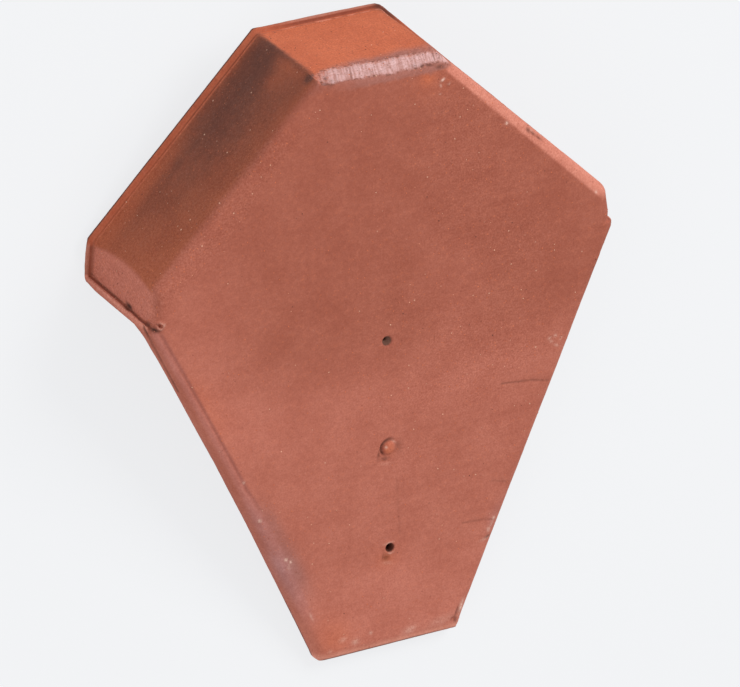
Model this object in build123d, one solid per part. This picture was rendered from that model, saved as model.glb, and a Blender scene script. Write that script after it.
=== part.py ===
from build123d import *
import os
from math import atan2, degrees, hypot

# Clay ridge end roof tile, in millimetres.
# One pressed and fired piece closes the end of an angular ridge. A flat face
# plate shaped like a coffin lid carries a rim that is turned back from its
# top, its two shoulders and its two short cheeks. Below the cheeks the plain
# plate runs on as a tapering tail, which is nailed to the gable.
#
# The tile is drawn in its own plan first: X across the face, Y up the face
# from the middle of its top edge, Z out of the face. At the end it is laid
# down as it comes to rest on a level floor, face up, on the lower ends of the
# rim and the foot of the tail.

# Face plate, measured on its outer surface before the edges are rounded
PLATE_LENGTH = 365.0
TOP_WIDTH = 77.8
SHOULDER_WIDTH = 289.5
SHOULDER_DROP = 105.4
CHEEK_HEIGHT = 25.2
CHEEK_FLARE = 2.45
TAIL_WIDTH = 90.0
PLATE_THICK = 12.0

# Rim turned back from the face plate
RIM_DEPTH = 83.4
RIM_THICK = 12.0

# Thin lip left where the two halves of the mould met: it follows the back
# edge of the rim and then turns forward along the lower end of each cheek
LIP_PROUD = 2.8
LIP_DEPTH = 2.6
END_LIP_DEPTH = 4.0
LIP_CORNER_R = 3.0
LIP_EDGE_R = 1.0

# Rounded edges. The foot of the tail has one moulded corner, and one that was
# trimmed nearly square.
FACE_EDGE_R = 7.5
TOP_CORNER_R = 3.0
SHOULDER_CORNER_R = 8.0
LEFT_FOOT_CORNER_R = 8.0
RIGHT_FOOT_CORNER_R = 1.5
INNER_CORNER_R = 5.0
ROOT_R = 8.0
BACK_EDGE_R = 1.0

# Nail holes on the centre line, spaced upwards from the foot of the tail
NAIL_D = 5.4
FOOT_TO_LOWER_NAIL = 65.0
LOWER_TO_MIDDLE_NAIL = 64.6
MIDDLE_TO_UPPER_NAIL = 66.9

# The middle hole was never cleared: a slug of clay stands in its mouth
SLUG_MOUTH_D = 9.6
SLUG_MOUTH_DEPTH = 1.4
SLUG_D = 6.8
SLUG_HEIGHT = 1.5
SLUG_EDGE_R = 0.5

# How far a cutting solid runs past the face that it cuts through
OVERRUN = 5.0
# How near its stated place an edge must lie to be the one that is rounded
PICK_REACH = 0.5


def offset_line(points, distance):
    """The open outline moved sideways, to the left of its direction."""
    normals = []
    for (x0, y0), (x1, y1) in zip(points, points[1:]):
        run = hypot(x1 - x0, y1 - y0)
        normals.append(((y0 - y1) / run, (x1 - x0) / run))
    first, last = normals[0], normals[-1]
    moved = [(points[0][0] + first[0] * distance, points[0][1] + first[1] * distance)]
    for (x, y), (ax, ay), (bx, by) in zip(points[1:-1], normals, normals[1:]):
        mitre = distance / (1 + ax * bx + ay * by)
        moved.append((x + (ax + bx) * mitre, y + (ay + by) * mitre))
    moved.append((points[-1][0] + last[0] * distance, points[-1][1] + last[1] * distance))
    return moved


def reach(start, end, level):
    """The point at Y = level on the line through two points."""
    share = (level - start[1]) / (end[1] - start[1])
    return (start[0] + (end[0] - start[0]) * share, level)


def stretched(points, level):
    """The outline with both of its ends run on, or cut back, to Y = level."""
    return [reach(points[1], points[0], level), *points[1:-1], reach(points[-2], points[-1], level)]


def prism(points, z_low, z_high):
    """A closed outline pulled up from one height to another."""
    face = make_face(Polyline(*points, close=True))
    return extrude(Pos(0, 0, z_low) * face, z_high - z_low)


def round_upright(shape, corners, radius):
    """Round the edges along Z that stand at the given corners of an outline."""
    edges = [
        edge for edge in shape.edges().filter_by(Axis.Z)
        for x, y in corners
        if hypot(edge.center().X - x, edge.center().Y - y) < PICK_REACH
    ]
    return fillet(edges, radius)


# Outline of the rim on the face, from the foot of one cheek over the top to
# the foot of the other, so that outward is to the right of its direction
half_top = TOP_WIDTH / 2
half_shoulder = SHOULDER_WIDTH / 2
half_cheek = half_shoulder + CHEEK_FLARE
half_tail = TAIL_WIDTH / 2
cheek_foot = -SHOULDER_DROP - CHEEK_HEIGHT
rim_outline = [
    (half_cheek, cheek_foot),
    (half_shoulder, -SHOULDER_DROP),
    (half_top, 0),
    (-half_top, 0),
    (-half_shoulder, -SHOULDER_DROP),
    (-half_cheek, cheek_foot),
]
lip_outline = stretched(offset_line(rim_outline, -LIP_PROUD), cheek_foot)
inner_outline = stretched(offset_line(rim_outline, RIM_THICK), cheek_foot - OVERRUN)

# Hood: the block behind the upper part of the face, hollowed out further down.
# Its upright corners are rounded first, then the face edge is rolled over
# along the top, the shoulders and the cheeks.
hood = prism(rim_outline, -RIM_DEPTH, 0)
hood = round_upright(hood, rim_outline[2:4], TOP_CORNER_R)
hood = round_upright(hood, rim_outline[1:5:3], SHOULDER_CORNER_R)
hood_face = hood.faces().sort_by(Axis.Z)[-1]
hood = fillet(
    [edge for edge in hood_face.edges() if edge.center().Y > cheek_foot + PICK_REACH],
    FACE_EDGE_R,
)

# Tail: it starts at the lip on the end of each cheek and tapers to its foot.
# Its two sides and its foot are rolled over like the rest of the face.
lip_half = lip_outline[0][0]
tail_start = cheek_foot + END_LIP_DEPTH
lip_top_half = reach(lip_outline[1], lip_outline[0], tail_start)[0]
tail_outline = [
    (lip_top_half, tail_start),
    (lip_half, cheek_foot),
    (half_tail, -PLATE_LENGTH),
    (-half_tail, -PLATE_LENGTH),
    (-lip_half, cheek_foot),
    (-lip_top_half, tail_start),
]
tail = prism(tail_outline, -PLATE_THICK, 0)
tail = round_upright(tail, [(half_tail, -PLATE_LENGTH)], RIGHT_FOOT_CORNER_R)
tail = round_upright(tail, [(-half_tail, -PLATE_LENGTH)], LEFT_FOOT_CORNER_R)
tail_face = tail.faces().sort_by(Axis.Z)[-1]
tail = fillet(
    [edge for edge in tail_face.edges() if edge.center().Y < tail_start - PICK_REACH],
    FACE_EDGE_R,
)

# Lip: a band round the back edge of the rim, and one rib down each cheek end
lip_band = prism(lip_outline, -RIM_DEPTH, -RIM_DEPTH + LIP_DEPTH)
lip_band = round_upright(lip_band, lip_outline[1:5], LIP_CORNER_R)
rib_half = half_cheek - RIM_THICK
end_ribs = [
    prism(
        [
            (side * rib_half, tail_start),
            (side * lip_top_half, tail_start),
            (side * lip_half, cheek_foot),
            (side * rib_half, cheek_foot),
        ],
        -RIM_DEPTH,
        -PLATE_THICK,
    )
    for side in (-1, 1)
]

# Hollow behind the face, open at the back and between the feet of the cheeks,
# where the end of the last ridge tile goes in
hollow = prism(inner_outline, -RIM_DEPTH - OVERRUN, -PLATE_THICK)
hollow = round_upright(hollow, inner_outline[1:5], INNER_CORNER_R)

tile = hood + tail + lip_band
for rib in end_ribs:
    tile += rib
tile -= hollow

# Soft root between the back of the face and the rim, inside the hollow and
# across the foot of each cheek
root_edges = [
    edge for edge in tile.edges()
    if abs(edge.center().Z + PLATE_THICK) < PICK_REACH
    and edge.center().Y > cheek_foot - PICK_REACH
    and abs(edge.center().X) < lip_half - PICK_REACH
]
tile = fillet(root_edges, ROOT_R)

# Soft edges of the lip, and the rounded groove between it and the rim
lip_edges = [
    edge for edge in tile.edges()
    if abs(edge.center().Z + RIM_DEPTH - LIP_DEPTH) < PICK_REACH
    and edge.center().Y > tail_start
]
tile = fillet(lip_edges, LIP_EDGE_R)

# Back edges of the rim and of the tail, where the clay was wiped smooth
back_edges = [
    edge for edge in tile.edges()
    if abs(edge.center().Z + RIM_DEPTH) < PICK_REACH
    or (abs(edge.center().Z + PLATE_THICK) < PICK_REACH
        and edge.center().Y < cheek_foot - ROOT_R)
]
tile = fillet(back_edges, BACK_EDGE_R)

# Nail holes right through the plate
lower_nail = -PLATE_LENGTH + FOOT_TO_LOWER_NAIL
middle_nail = lower_nail + LOWER_TO_MIDDLE_NAIL
upper_nail = middle_nail + MIDDLE_TO_UPPER_NAIL
for height in (lower_nail, upper_nail):
    tile -= Pos(0, height, -PLATE_THICK / 2) * Cylinder(NAIL_D / 2, PLATE_THICK + OVERRUN)

# Stopped middle hole: a shallow mouth, and the slug of clay on its floor. The
# slug runs on below the floor by the depth of the mouth, so that it is joined.
upwards = (Align.CENTER, Align.CENTER, Align.MIN)
mouth = Cylinder(SLUG_MOUTH_D / 2, SLUG_MOUTH_DEPTH + OVERRUN, align=upwards)
slug = Cylinder(SLUG_D / 2, SLUG_MOUTH_DEPTH + SLUG_HEIGHT, align=upwards)
slug = fillet(slug.edges().sort_by(Axis.Z)[-1], SLUG_EDGE_R)
tile -= Pos(0, middle_nail, -SLUG_MOUTH_DEPTH) * mouth
tile += Pos(0, middle_nail, -2 * SLUG_MOUTH_DEPTH) * slug

# Laid down as it comes to rest: turned about X until the lower ends of the
# rim and the foot of the tail stand at one height, then set on the floor with
# the middle of its box over the origin
rest_tilt = atan2(RIM_DEPTH - PLATE_THICK, PLATE_LENGTH + cheek_foot)
tile = Rot(degrees(rest_tilt), 0, 0) * tile
box = tile.bounding_box()
tile = Pos(-box.center().X, -box.center().Y, -box.min.Z) * tile
tile.label = "tile"

os.makedirs("parts", exist_ok=True)
export_step(tile, "parts/tile.step")
print("rest tilt in degrees", round(degrees(rest_tilt), 3))
print("box before it is set down", [round(value, 3) for value in (*box.min, *box.max)])
print("centre of mass", [round(value, 2) for value in tile.center(CenterOf.MASS)])
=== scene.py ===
# %% [markdown]
# # A clay ridge end tile
#
# The tile closes the gable end of an angular roof ridge. Somebody pressed clay
# into a mould, turned a rim back from its top, shoulders and cheeks, left a
# plain tail to nail through, and fired it. The solid model has that form at its
# true size. This lesson adds what the hand, the kiln and the roof have done:
# first camera and light, then the clay as one dense mesh, then its finish, and
# last its loose grains of ground brick.

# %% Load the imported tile
from itertools import product
from math import atan2, cos, degrees, pi, radians, sin

import bmesh
import bpy
import numpy as np
from mathutils import Matrix, Vector


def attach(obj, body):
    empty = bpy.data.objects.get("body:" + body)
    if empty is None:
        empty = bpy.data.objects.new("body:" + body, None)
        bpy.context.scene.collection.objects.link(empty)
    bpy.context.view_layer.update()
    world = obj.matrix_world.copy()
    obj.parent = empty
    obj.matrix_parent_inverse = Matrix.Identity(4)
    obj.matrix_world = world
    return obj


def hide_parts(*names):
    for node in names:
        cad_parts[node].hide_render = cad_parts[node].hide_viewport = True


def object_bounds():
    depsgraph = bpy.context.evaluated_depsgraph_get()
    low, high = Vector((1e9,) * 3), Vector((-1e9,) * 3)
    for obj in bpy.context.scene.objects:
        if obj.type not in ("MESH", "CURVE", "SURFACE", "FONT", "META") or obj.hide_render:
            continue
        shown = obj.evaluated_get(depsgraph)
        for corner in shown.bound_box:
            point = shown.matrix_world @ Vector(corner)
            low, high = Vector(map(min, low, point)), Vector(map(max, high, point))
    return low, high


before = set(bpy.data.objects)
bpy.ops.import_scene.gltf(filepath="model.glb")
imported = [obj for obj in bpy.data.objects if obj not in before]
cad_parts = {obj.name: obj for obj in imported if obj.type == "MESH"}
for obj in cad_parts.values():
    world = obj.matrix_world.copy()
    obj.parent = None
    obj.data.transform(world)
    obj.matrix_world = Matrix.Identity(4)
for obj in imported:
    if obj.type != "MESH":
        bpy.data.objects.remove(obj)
cad_size = [list(map(float, corner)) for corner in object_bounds()]
cad_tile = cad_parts["tile"]
print("CAD box in metres", np.round(cad_size, 4).tolist())

# %% [markdown]
# ## Plan places
#
# The tile lies tilted on the floor, so floor coordinates are awkward for a mark
# such as "beside the lower nail hole". Marks are measured on the face instead,
# in millimetres: across from the centre line, up from the top edge (so downwards
# is negative) and out of the face. The slope of the face is that of the largest
# flat area that looks upwards.

# %% Find the slope of the face
MM = 0.001
PLATE_LENGTH = 365

faces = cad_tile.data.polygons
normals = np.zeros((len(faces), 3), np.float32)
areas = np.zeros(len(faces), np.float32)
faces.foreach_get("normal", normals.ravel())
faces.foreach_get("area", areas)
directions, which = np.unique(np.round(normals, 3), axis=0, return_inverse=True)
flat_area = np.bincount(which.ravel(), weights=areas) * (directions[:, 2] > 0)
face_normal = directions[flat_area.argmax()]
slope = atan2(-face_normal[1], face_normal[2])
plan_turn = np.array(Matrix.Rotation(slope, 3, "X"))

cad_points = np.array([vertex.co for vertex in cad_tile.data.vertices]) @ plan_turn / MM
plan_origin = np.array([0, cad_points[:, 1].min() + PLATE_LENGTH, cad_points[:, 2].max()])
print("slope of the face in degrees", round(degrees(slope), 3))


def to_frame(places):
    """Places on the tile, in millimetres, as points of the frame in metres."""
    return (np.asarray(places) + plan_origin) @ plan_turn.T * MM


def to_plan(points):
    """Points of the frame, in metres, as places on the tile in millimetres."""
    return np.asarray(points) @ plan_turn / MM - plan_origin


def new_object(name, data):
    """A new object of the scene that shows the given data."""
    thing = bpy.data.objects.new(name, data)
    bpy.context.scene.collection.objects.link(thing)
    return thing


# %% [markdown]
# ## Camera
#
# The photograph is taken with a long lens from in front of the face, a little to
# its left and a little above it, so the camera is placed by its angles from the
# face and not by a point in the room.

# %% Place the camera
CAMERA_LEFT = radians(27.358)
CAMERA_RISE = radians(25.165)
CAMERA_ROLL = radians(-0.858)
CAMERA_DISTANCE = 4.1035
CAMERA_AIM = (-5.07, -173.34, -11.52)
LENS_MM = 349.74
SENSOR_MM = 36

look_back = Vector((
    -sin(CAMERA_LEFT) * cos(CAMERA_RISE), sin(CAMERA_RISE), cos(CAMERA_LEFT) * cos(CAMERA_RISE)
))
level_right = Vector((0, 1, 0)).cross(look_back).normalized()
right = Matrix.Rotation(CAMERA_ROLL, 3, look_back) @ level_right
axes = np.array([right, look_back.cross(right), look_back]).T
pose = Matrix((plan_turn @ axes).tolist()).to_4x4()
pose.translation = to_frame(CAMERA_AIM) + plan_turn @ np.array(look_back) * CAMERA_DISTANCE

camera_data = bpy.data.cameras.new("camera")
camera_data.lens = LENS_MM
camera_data.sensor_fit = "HORIZONTAL"
camera_data.sensor_width = SENSOR_MM
camera = new_object("camera", camera_data)
camera.matrix_world = pose
bpy.context.scene.camera = camera
bpy.context.scene.view_settings.view_transform = "Standard"
print("camera at", [round(value, 3) for value in pose.translation])

# %% [markdown]
# ## Light and floor
#
# The light is broad and soft: the top of the tile and its right shoulder are
# brightest, and the left shoulder falls away into brown. One large soft box up
# and to the right does that, a weaker one fills the left, and a plain pale room
# does the rest. They add up to about one, so that a colour renders about as it
# is written. The ground is shown to the camera in its own pale colour, mixed
# with a little of the lit floor, so that the tile keeps its shadow.

# %% Set up the light
GROUND = (0.9, 0.909, 0.925, 1)
ROOM_LEVEL = 0.46
KEY_LEVEL = 0.6
FILL_LEVEL = 0.24
GROUND_SHARE = 0.86


def soft_box(name, toward, distance, size, level):
    """A square lamp that lights a surface that faces it to the given level."""
    data = bpy.data.lights.new(name, "AREA")
    data.shape = "SQUARE"
    data.size = size
    data.energy = level * (pi * distance) ** 2
    lamp = new_object(name, data)
    heading = Vector((plan_turn @ np.array(toward)).tolist()).normalized()
    lamp.location = heading * distance
    lamp.rotation_euler = heading.to_track_quat("Z", "Y").to_euler()
    return lamp


soft_box("key light", (0.5, 0.62, 0.6), 2.4, 1.3, KEY_LEVEL)
soft_box("fill light", (-0.75, 0.1, 0.65), 2.4, 1.8, FILL_LEVEL)

# %% [markdown]
# Materials and node groups are built from short helpers, which all work in the
# node tree at hand, `tree`. `add` makes a node, sets its choices and fills its
# inputs: a socket is linked, and a plain value is written in.

# %% Node helpers
def fill(socket, value):
    """Link a socket to another one, or write a plain value into it."""
    if isinstance(value, bpy.types.NodeSocket):
        tree.links.new(value, socket)
    else:
        socket.default_value = value


def add(kind, inputs=None, **choices):
    """A new node, set and filled. A shader node goes by the last part of its name."""
    node = tree.nodes.new(kind if "Node" in kind else "ShaderNode" + kind)
    for name, value in choices.items():
        setattr(node, name, value)
    for name, value in (inputs or {}).items():
        fill(node.inputs[name], value)
    return node


def maths(operation, *values, clamp=False):
    """The result of a Math node."""
    choices = {"operation": operation, "use_clamp": clamp}
    return add("Math", dict(enumerate(values)), **choices).outputs[0]


def times(*values):
    """Several values multiplied together."""
    total = values[0]
    for value in values[1:]:
        total = maths("MULTIPLY", total, value)
    return total


def ramp(value, low, high, to_low=0, to_high=1):
    """A value taken smoothly from one range to another, and held at its ends."""
    ends = {"From Min": low, "From Max": high, "To Min": to_low, "To Max": to_high}
    node = add("MapRange", {"Value": value, **ends}, interpolation_type="SMOOTHSTEP")
    return node.outputs["Result"]


def line(value, middle, half_width):
    """1 where a value is at its middle, fading to 0 on both sides."""
    apart = maths("ABSOLUTE", maths("SUBTRACT", value, middle))
    return ramp(apart, 0, half_width, 1, 0)


def kept(name):
    """A value that is kept on the points of the tile."""
    return add("Attribute", attribute_name=name).outputs["Fac"]


def lay(shade, *coats):
    """Coats over a colour, each as colour, share or name of a kept one, and strength."""
    for over, share, *strength in coats:
        share = times(kept(share) if isinstance(share, str) else share, *strength)
        shade = add("Mix", {0: share, 6: shade, 7: over}, data_type="RGBA").outputs[2]
    return shade


def noise(place, scale, detail=2, roughness=0.5):
    """A cloud of values round one half, with `scale` lumps to the millimetre."""
    values = {"Vector": place, "Scale": scale, "Detail": detail, "Roughness": roughness}
    return add("TexNoise", values).outputs["Fac"]


def new_material(name):
    """An empty material and its node tree."""
    material = bpy.data.materials.new(name)
    material.use_nodes = True
    material.node_tree.nodes.clear()
    return material, material.node_tree


# %% Floor and room
FLOOR_HALF = 6

corners = [(x * FLOOR_HALF, y * FLOOR_HALF, 0) for x, y in ((-1, -1), (1, -1), (1, 1), (-1, 1))]
floor_mesh = bpy.data.meshes.new("floor")
floor_mesh.from_pydata(corners, [], [(0, 1, 2, 3)])
floor = new_object("floor", floor_mesh)

floor_material, tree = new_material("pale floor")
seen = add("LightPath").outputs["Is Camera Ray"]
lit = add("BsdfDiffuse", {"Color": GROUND}).outputs[0]
plain = add("Emission", {"Color": GROUND, "Strength": 1}).outputs[0]
both = add("MixShader", {0: times(seen, GROUND_SHARE), 1: lit, 2: plain})
add("OutputMaterial", {"Surface": both.outputs[0]})
floor_mesh.materials.append(floor_material)

world = bpy.data.worlds.new("plain room")
world.use_nodes = True
bpy.context.scene.world = world
tree = world.node_tree
tree.nodes.clear()
paths = add("LightPath").outputs
direct = maths("MAXIMUM", paths["Is Glossy Ray"], paths["Is Transmission Ray"])
direct = maths("MAXIMUM", paths["Is Camera Ray"], direct)
strength = add("MapRange", {"Value": direct, "To Min": ROOM_LEVEL, "To Max": 1})
room = add("Background", {"Color": GROUND, "Strength": strength.outputs["Result"]})
add("OutputWorld", {"Surface": room.outputs[0]})
print("light and floor are set")

# %% [markdown]
# ## The clay
#
# Pressed clay has no sharp edge and no flat face. The solid model has the right
# shape, but nothing can be modelled into its long thin triangles. A voxel remesh
# lays an even net of small squares over it, a light smoothing takes the crispness
# off each edge as a wet finger would, and the net can then be pushed about in
# code, in plan places.

# %% Lay an even net over the tile
VOXEL = 0.6
SOFTENING_ROUNDS = 2


def changed(mesh, kind, free=None, **settings):
    """The mesh with one modifier applied to it. It may be held to the free points."""
    holder = new_object("holder", mesh)
    modifier = holder.modifiers.new(kind, kind)
    if free is not None:
        holder.vertex_groups.new(name="free").add(np.flatnonzero(free).tolist(), 1, "REPLACE")
        modifier.vertex_group = "free"
    for name, value in settings.items():
        setattr(modifier, name, value)
    graph = bpy.context.evaluated_depsgraph_get()
    result = bpy.data.meshes.new_from_object(holder.evaluated_get(graph))
    bpy.data.objects.remove(holder)
    bpy.data.meshes.remove(mesh)
    return result


def read(mesh):
    """The places of a mesh's points, and the directions in which they face."""
    places = np.zeros((len(mesh.vertices), 3), np.float32)
    facing = np.zeros_like(places)
    mesh.vertices.foreach_get("co", places.ravel())
    mesh.vertex_normals.foreach_get("vector", facing.ravel())
    return places.astype(float), facing.astype(float)


def write(mesh, places):
    """Move a mesh's points to new places."""
    mesh.vertices.foreach_set("co", places.astype(np.float32).ravel())
    mesh.update()


# Pats of clay that were pressed on, as middle and radii: the plug, what it
# squeezed out on its lower right, and its smeared foot
PATS = [
    ((0.7, -235, -0.8), (4, 4.3, 2)),
    ((2.3, -236.7, -1.6), (4.5, 4.5, 1.75)),
    ((-2.4, -241, -1.3), (2.8, 2.2, 1.6)),
]

clay = cad_tile.data.copy()
write(clay, to_plan(read(clay)[0]))
loose = bmesh.new()
loose.from_mesh(clay)
bmesh.ops.remove_doubles(loose, verts=loose.verts, dist=1e-3)
for middle, radii in PATS:
    pat = Matrix.Translation(middle) @ Matrix.Diagonal((*radii, 1))
    bmesh.ops.create_uvsphere(loose, u_segments=32, v_segments=16, radius=1, matrix=pat)
loose.to_mesh(clay)
loose.free()
clay = changed(clay, "REMESH", mode="VOXEL", voxel_size=VOXEL)
clay = changed(clay, "SMOOTH", factor=0.5, iterations=SOFTENING_ROUNDS)
print("even net:", len(clay.vertices), "points")

# %% [markdown]
# ## Helpers for marks
#
# Each mark is a depth, in millimetres, by which a point is pushed into the clay,
# and depths simply add up. A noise of smooth random lumps makes the hand-made
# unevenness, and a few small measures shape everything else.

# %% Noise and measures
HASH_STEPS = (73856093, 19349663, 83492791)
HASH_SEED = 2654435761
HASH_MIX = 0x45D9F3B
HASH_BITS = 0xFFFFFFFF


def lumps(places, size, seed):
    """Smooth noise from -1 to 1 with lumps of the given size."""
    cells = places / size
    low = np.floor(cells).astype(np.int64)
    part = cells - low
    part = part * part * (3 - 2 * part)
    total = np.zeros(len(places))
    for corner in product((0, 1), repeat=3):
        key = (low + corner) * HASH_STEPS
        value = (key[:, 0] ^ key[:, 1] ^ key[:, 2] ^ (seed * HASH_SEED)) & HASH_BITS
        for _ in range(2):
            value = ((value >> 16) ^ value) * HASH_MIX & HASH_BITS
        weight = np.prod(np.where(corner, part, 1 - part), axis=1)
        total += weight * value / HASH_BITS
    return 2 * total - 1


def rise(value, low, high):
    """0 below the first value, 1 above the second, and smooth between them."""
    part = np.clip((value - low) / (high - low), 0, 1)
    return part * part * (3 - 2 * part)


def fall(value, low, high):
    """1 below the first value, 0 above the second, and smooth between them."""
    return 1 - rise(value, low, high)


def near(places, centre, radii, turn=0):
    """1 at a centre, fading to 0 round it. The radii may differ; turn is in plan."""
    apart = places - centre
    angle = radians(turn)
    across = apart[:, 0] * cos(angle) + apart[:, 1] * sin(angle)
    along = apart[:, 1] * cos(angle) - apart[:, 0] * sin(angle)
    spread = np.broadcast_to(radii, 3)
    return np.exp(-(across / spread[0]) ** 2 - (along / spread[1]) ** 2 - (apart[:, 2] / spread[2]) ** 2)


def from_path(places, path):
    """How far each place is from a line through the given places."""
    nearest = np.full(len(places), np.inf)
    for start, end in zip(np.array(path[:-1], float), np.array(path[1:], float)):
        run = end - start
        share = np.clip((places - start) @ run / (run @ run), 0, 1)
        nearest = np.minimum(nearest, np.linalg.norm(places - start - share[:, None] * run, axis=1))
    return nearest


# %% [markdown]
# ## Hand-made unevenness, wear and damage
#
# The largest mark is the top edge: ladders and the next tile have rubbed it into
# a flat, pale strip with a raked surface. A rubbed or broken place is cut by a
# plane: whatever stands above the plane goes down to it.

# %% Cut the rubbed edge and the broken corners
def cut(places, inside, facing_cut, offset, roughness, size, seed):
    """Push down to a plane whatever stands above it, leaving a rough surface."""
    direction = np.array(facing_cut) / np.linalg.norm(facing_cut)
    level = offset + roughness * lumps(places, size, seed)
    above = np.maximum(places @ direction - level, 0) * inside
    return places - above[:, None] * direction


places, facing = read(clay)
x, y, z = places.T

RAKE_SLANT = 0.34
RAKE_STRETCH = 0.12
across = x * cos(RAKE_SLANT) + z * sin(RAKE_SLANT)
along = z - x * sin(RAKE_SLANT)
raked = np.column_stack([across, y * RAKE_STRETCH, along * RAKE_STRETCH])
rake = lumps(raked, 1.5, 3) + 0.6 * lumps(raked, 3.4, 4)
on_top_edge = rise(y, -16, -12) * rise(z, -18, -15)
rub_ends = rise(x, -41, -36) * fall(x, 40, 45)
places = cut(places, on_top_edge * rub_ends, (0, 0.965, 0.263), -3.3, 0.25, 2.2, 6)
places = cut(places, on_top_edge * rub_ends, (0, 0.8, 0.6), -3.5, 0.2, 4, 7)

right_lip_corner = rise(x, 33, 35) * rise(y, -1, 0) * rise(-z, 78, 80)
places = cut(places, right_lip_corner, (0.352, 0.936, 0), 15.7, 0.35, 2.5, 8)

# %% [markdown]
# The small marks are lists of places. A dent has a depth, and a bump has a depth
# below nothing. Rings stand round the nail holes and on the bead of clay beside
# the left cheek, and a groove or a ridge follows a path.

# %% Press in the small marks
# Unevenness as depth, size of its lumps, and seed
UNEVEN = ((0.15, 95, 11), (0.09, 34, 12), (0.06, 11, 13), (0.05, 4.5, 14), (0.04, 2, 15))
RAKE_DEPTH = 0.16

depth = sum(amount * lumps(places, size, seed) for amount, size, seed in UNEVEN)
rubbed_deep = rise(y * 0.965 + z * 0.263, -5, -3.6)
depth += RAKE_DEPTH * rake * on_top_edge * rub_ends * rubbed_deep

# Dents as place, radii, turn and depth
DENTS = [
    ((20.5, -3.2, -0.8), (2.6, 1, 2), 0, 0.7), ((25, -3.8, -0.6), (1.4, 1, 2), 0, 0.9),
    ((29.5, -4.4, -0.5), (2.4, 0.8, 2), -12, 0.8), ((36.5, -6.6, 0), (3.6, 1.3, 2), -8, 0.6),
    ((37.5, -14.5, 0), (1.5, 0.9, 2), 40, -0.5), ((41.5, -17.6, 0), (0.9, 1.4, 2), 0, -0.45),
    ((38.4, -17.6, 0), (1.2, 1.1, 2), 0, 0.4), ((-40.2, -0.9, -12), (2.2, 2.2, 2.6), 0, 0.4),
    ((-35.5, -2.5, -3.5), (1.6, 1.2, 2), 0, 0.5), ((-30.5, -1.5, -4.5), (1.4, 1.2, 1.6), 0, 0.5),
    ((-33, -1.8, -7.5), (1.2, 1, 1.4), 0, 0.46), ((93.6, -58.3, -1.6), (2.2, 1.2, 3), -43, 0.8),
    ((96.8, -61.3, -1.8), (2.4, 0.8, 3), -43, 1), ((100.6, -64.8, -1.8), (2.8, 0.7, 3), -43, 1),
    ((-142.6, -126.4, 0.4), (0.8, 0.8, 2.2), 0, 1.7), ((-146.4, -122.2, -31), (1.6, 1.8, 3.4), 0, -0.6),
    ((-146.4, -122.1, -14.5), (1.7, 1.6, 5), 0, -0.9), ((-146.5, -123.4, -6), (1.5, 1.4, 3), 0, -0.6),
    ((-145.9, -117.5, -0.8), (0.7, 3.4, 2.4), 0, 0.45),
    ((-147, -126.6, -30.5), (1.8, 1.8, 2.8), 0, 0.9), ((-147.4, -126.8, -6), (1.8, 1.6, 3), 0, 0.7),
    ((41.2, -357, 0), (1.7, 1.4, 2), 20, 1.6), ((43.2, -352.8, 0), (0.7, 3.6, 2), -18, 0.8),
    ((45.6, -350.4, -1.2), (0.9, 3.4, 2.5), -18, -0.8), ((-3, -243.4, 0), (2.8, 1, 2), -10, 0.4),
    ((-6.4, -239.6, 0), (0.8, 2.8, 2), -8, 0.7), ((-2.6, -306.2, 0), (2.2, 2, 2), -20, 0.6),
    ((108.6, -191.6, -0.6), (1.4, 3.6, 2), -40, 0.35), ((64.6, -308.9, -0.8), (2.2, 0.9, 2), 10, 0.5),
    ((66.4, -300.2, -0.6), (1.2, 3.6, 2), -24, -0.35), ((-134, -106, 0), (1.7, 0.9, 2), -20, -0.35),
    ((-94.7, -202.1, 0), (1.6, 1.1, 2), 0, 0.35),
]
for *where, how_deep in DENTS:
    depth += how_deep * near(places, *where)

# Rings as middle, radius, half width and depth: the worn mouth of the upper hole,
# the raised rim of the lower one, and the bead of clay
UPPER_HOLE, PLUG, LOWER_HOLE = (0.1, -168.5), (0.7, -235), (0, -300.1)
BEAD = (-142.6, -126.4)
RINGS = [(UPPER_HOLE, 2.9, 0.6, 0.25), (LOWER_HOLE, 3.5, 0.6, -0.3), (BEAD, 1.8, 0.6, -1.4)]
on_face = rise(z, -3, -1.6) * (facing[:, 2] > 0)
for (middle_x, middle_y), radius, half_width, how_deep in RINGS:
    from_ring = (np.hypot(x - middle_x, y - middle_y) - radius) / half_width
    depth += how_deep * np.exp(-from_ring ** 2) * on_face


def beside_plug(x, y):
    """1 in the slot that stayed open on the upper left of the plug."""
    away_x, away_y = x - PLUG[0], y - PLUG[1]
    from_plug = np.hypot(away_x, away_y)
    upper_left = (-0.86 * away_x + 0.5 * away_y) / np.maximum(from_plug, 0.1)
    return np.exp(-((from_plug - 5.3) / 0.95) ** 2) * rise(upper_left, -0.5, 0.8)


depth += 0.9 * beside_plug(x, y) * on_face

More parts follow.
